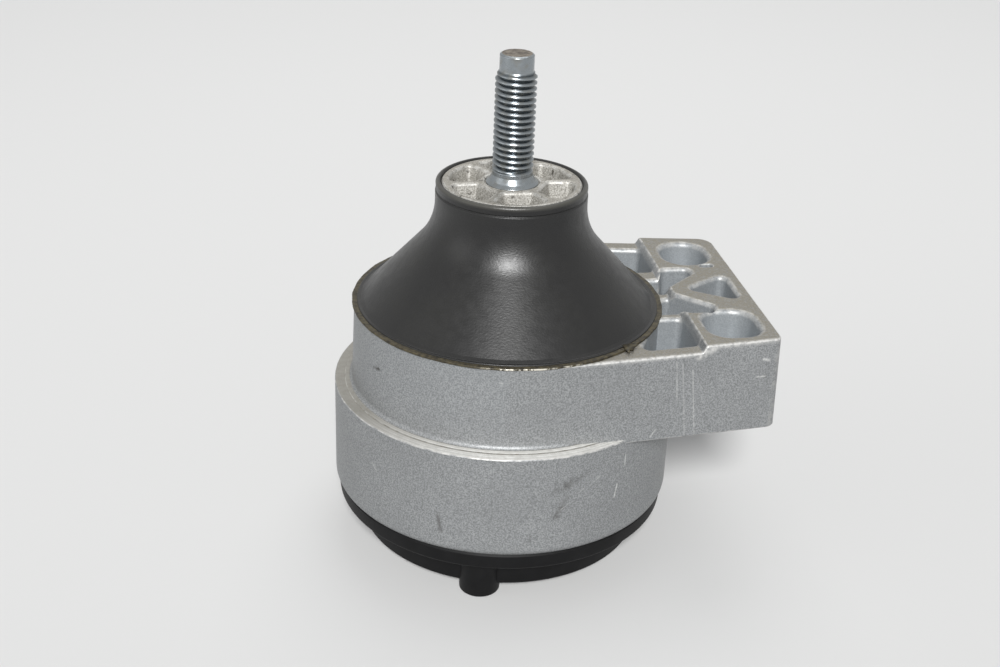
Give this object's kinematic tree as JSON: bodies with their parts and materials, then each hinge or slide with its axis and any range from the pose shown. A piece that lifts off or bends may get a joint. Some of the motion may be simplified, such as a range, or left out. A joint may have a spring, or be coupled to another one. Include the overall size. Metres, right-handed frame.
{
  "type": "engine mount",
  "caption": "Fluid-damped engine mount: cast round housing with a ribbed side arm, black rubber cone with a threaded stud on top, moulded bottom cover.",
  "frame": {"origin": "on the axis of the stud, at the lower end of its thread", "axes": "+Z is the axis of the stud and the housing, pointing out of the stud's tip; +X points along the bracket arm; +Y completes a right-handed frame"},
  "size_m": [0.1276, 0.1046, 0.1526],
  "materials": {
    "zinc_plated_steel": "bright zinc plating, stained brown on its end",
    "core_aluminium": "as cast, sparkling grain, stained",
    "cone_rubber": "satin moulded rubber",
    "sleeve_steel": "dull steel under an olive brown bonding coat",
    "housing_aluminium": "as cast, fine sparkling grain, with a machined ledge",
    "plate_aluminium": "die cast, machined faces",
    "membrane_rubber": "smooth moulded rubber",
    "plain_steel": "bright steel strip",
    "cover_plastic": "matt black moulded plastic, fine horizontal tool lines"
  },
  "bodies": {
    "root": {"mounting_stud": "zinc_plated_steel", "inner_core": "core_aluminium", "rubber_spring": "cone_rubber", "bonding_sleeve": "sleeve_steel", "cast_housing": "housing_aluminium", "upper_track_plate": "plate_aluminium", "lower_track_plate": "plate_aluminium", "decoupler_disc": "membrane_rubber", "diaphragm": "membrane_rubber", "clamp_ring": "plain_steel", "bottom_cover": "cover_plastic"}
  },
  "joints": []
}
